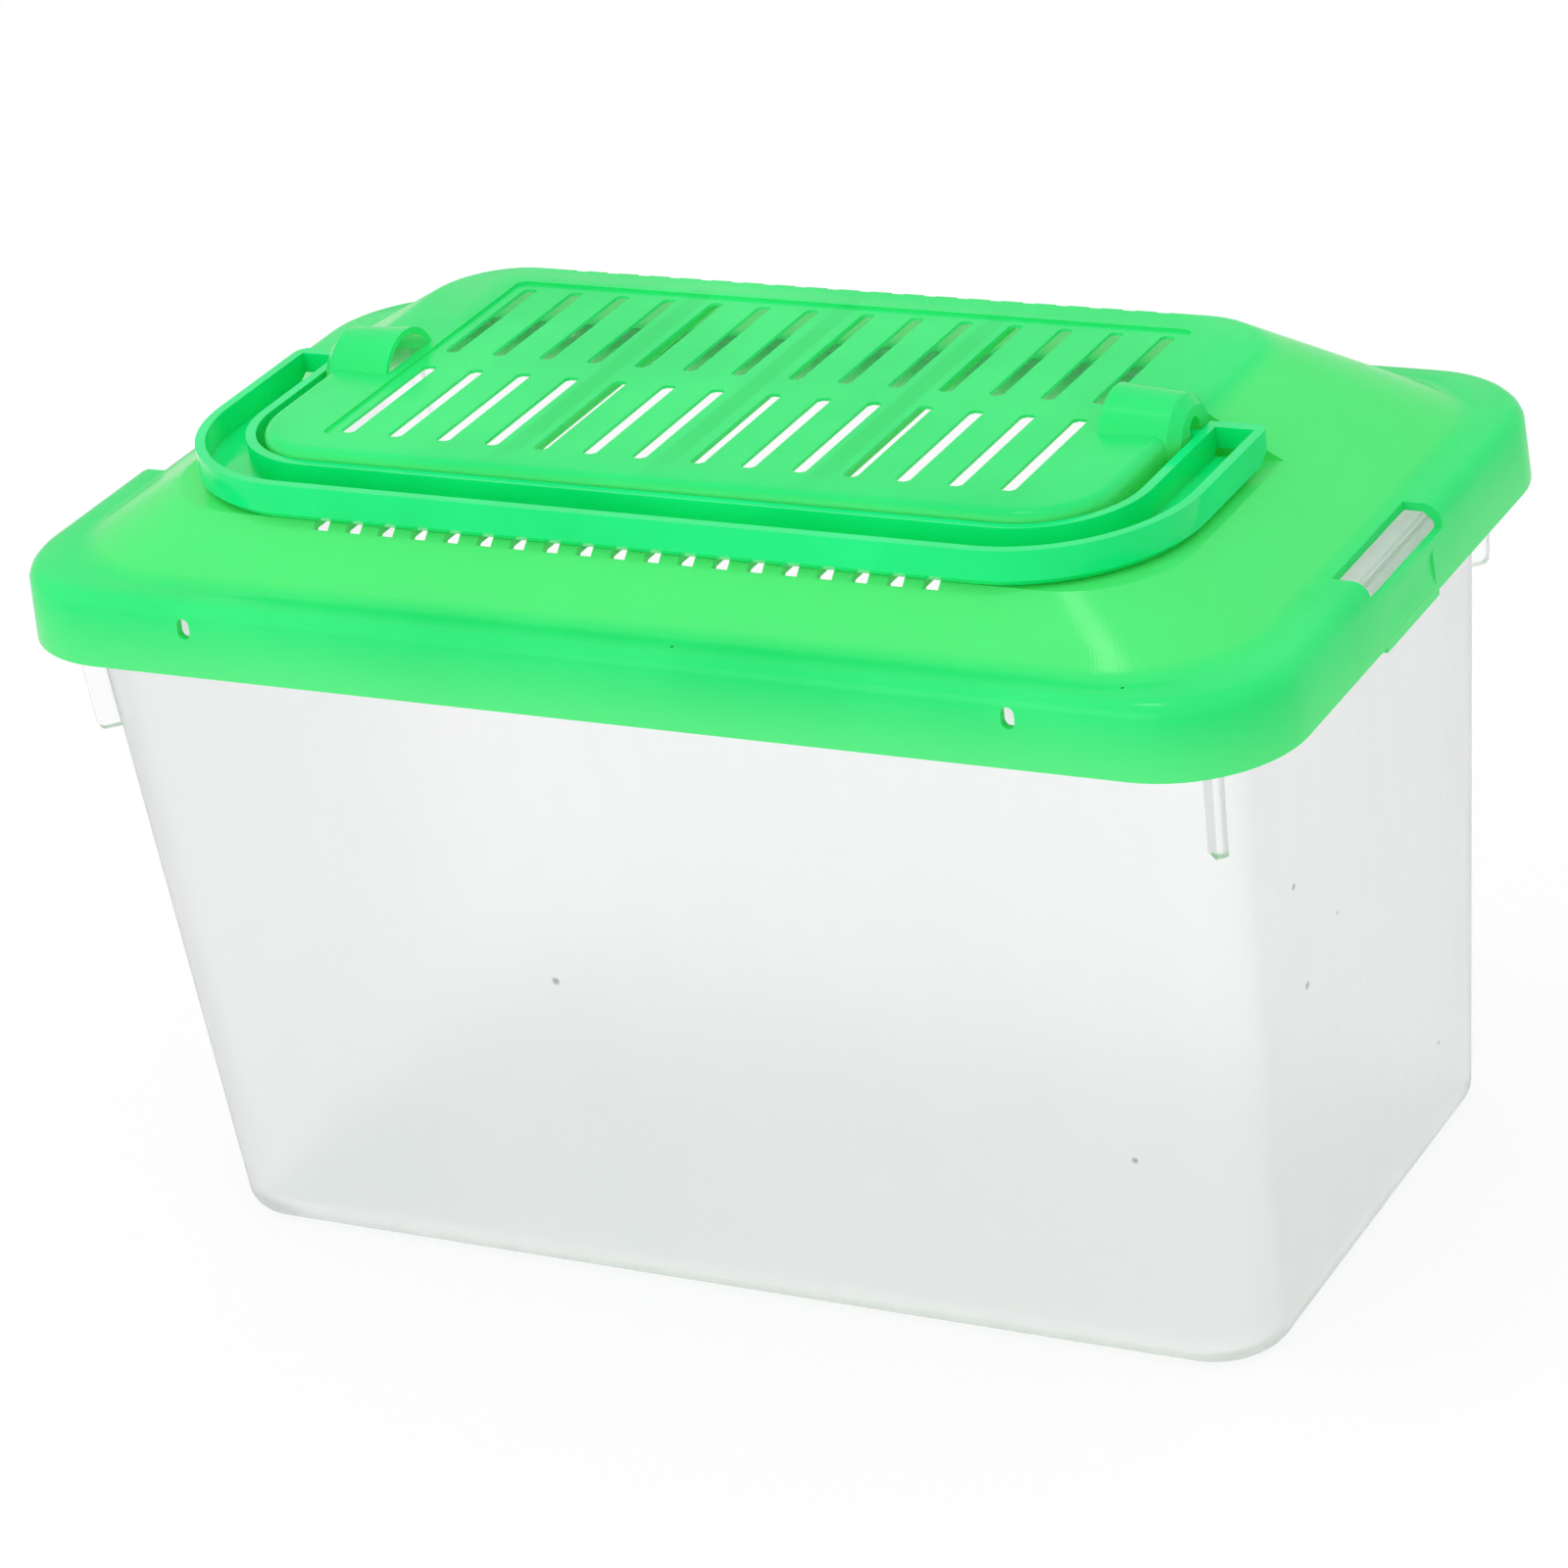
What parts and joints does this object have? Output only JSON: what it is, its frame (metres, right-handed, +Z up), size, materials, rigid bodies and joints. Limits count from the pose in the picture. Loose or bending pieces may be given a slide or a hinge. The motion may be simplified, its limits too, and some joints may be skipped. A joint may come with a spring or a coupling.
{
  "type": "pet keeper",
  "caption": "Plastic pet keeper: frosted tub, lift-off green lid with a slotted grille panel, and a folding carrying handle.",
  "frame": {"origin": "middle of the tub's foot, on the surface it stands on", "axes": "+X along the length, to the right as seen from the front, +Y towards the back, +Z up; the handle folds towards -Y"},
  "size_m": [0.24, 0.14, 0.1564],
  "materials": {
    "tub_plastic": "milky, see-through moulded plastic",
    "lid_plastic": "glossy green moulded plastic",
    "handle_plastic": "glossy green moulded plastic, a little darker than the lid"
  },
  "bodies": {
    "tub": {"tub": "tub_plastic"},
    "lid": {"lid": "lid_plastic"},
    "handle": {"handle": "handle_plastic"}
  },
  "joints": [
    {"name": "lid_lift", "type": "slide", "parent": "tub", "child": "lid", "axis": [0, 0, 1], "range_m": [0, 0.08]},
    {"name": "handle_swing", "type": "hinge", "parent": "lid", "child": "handle", "pos_m": [0, -0.0015, 0.1475], "axis": [-1, 0, 0], "range_deg": [0, 135]}
  ]
}
